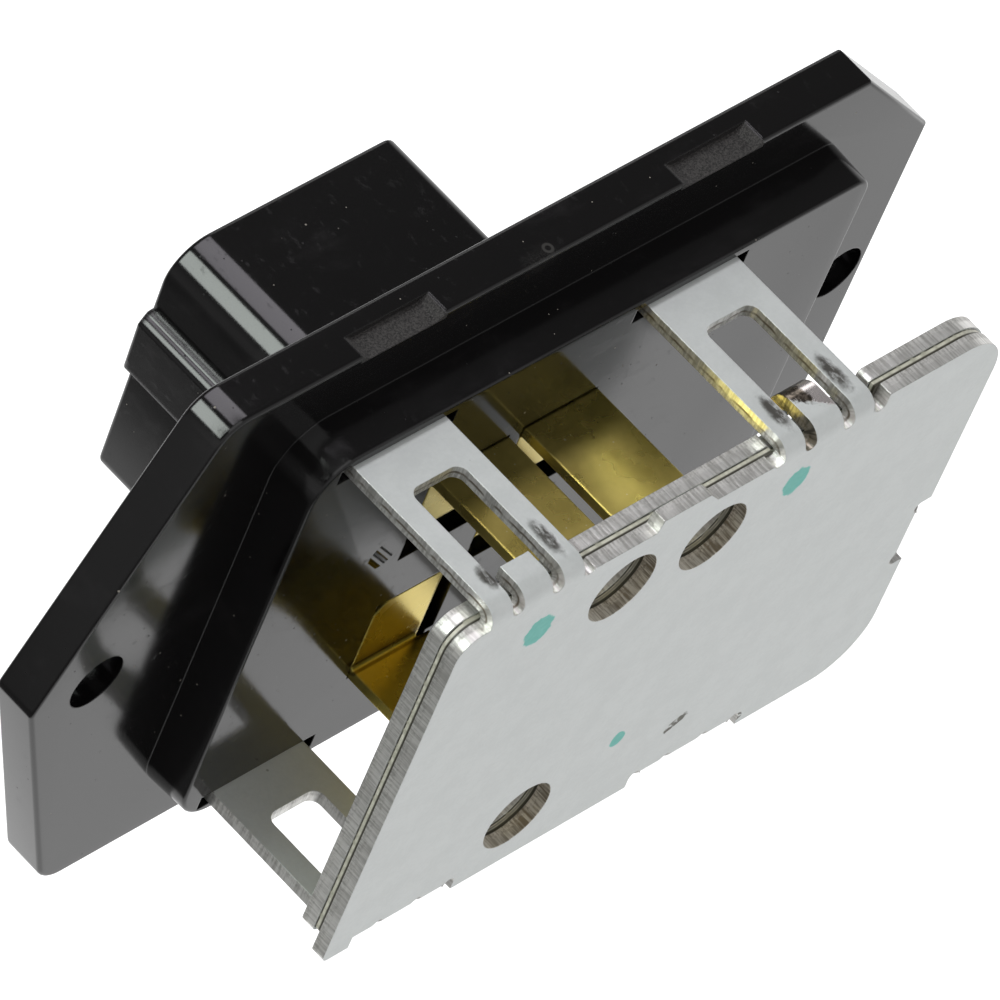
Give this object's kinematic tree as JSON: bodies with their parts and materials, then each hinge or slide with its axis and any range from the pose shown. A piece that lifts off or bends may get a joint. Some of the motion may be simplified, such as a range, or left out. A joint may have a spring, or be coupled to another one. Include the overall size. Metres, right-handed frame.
{
  "type": "blower motor resistor",
  "caption": "Heater blower motor resistor: black plastic screw flange with a plug socket, brass terminals and a flat film resistor clamped between two plated steel plates on folded legs.",
  "frame": {"origin": "midway between the two screw holes, on the face of the flange that seats against the duct", "axes": "+X along the flange towards its end with cut corners, +Y away from the duct, out of the plug socket, +Z across the flange towards the edge with the scoops"},
  "size_m": [0.073, 0.035, 0.044],
  "materials": {
    "housing_plastic": "glossy black moulded thermoset",
    "plated_steel": "satin zinc plate with bare sheared edges",
    "insulating_film": "cream film",
    "resistor_alloy": "rolled foil",
    "terminal_brass": "rolled strip, slightly tarnished",
    "solder": "satin solder"
  },
  "bodies": {
    "root": {"housing": "housing_plastic", "outer_plate": "plated_steel", "inner_plate": "plated_steel", "rear_film": "insulating_film", "front_film": "insulating_film", "resistor_foil": "resistor_alloy", "terminal_upper_right": "terminal_brass", "terminal_upper_left": "terminal_brass", "terminal_middle": "terminal_brass", "terminal_lower": "terminal_brass", "solder_joints": "solder"}
  },
  "joints": []
}
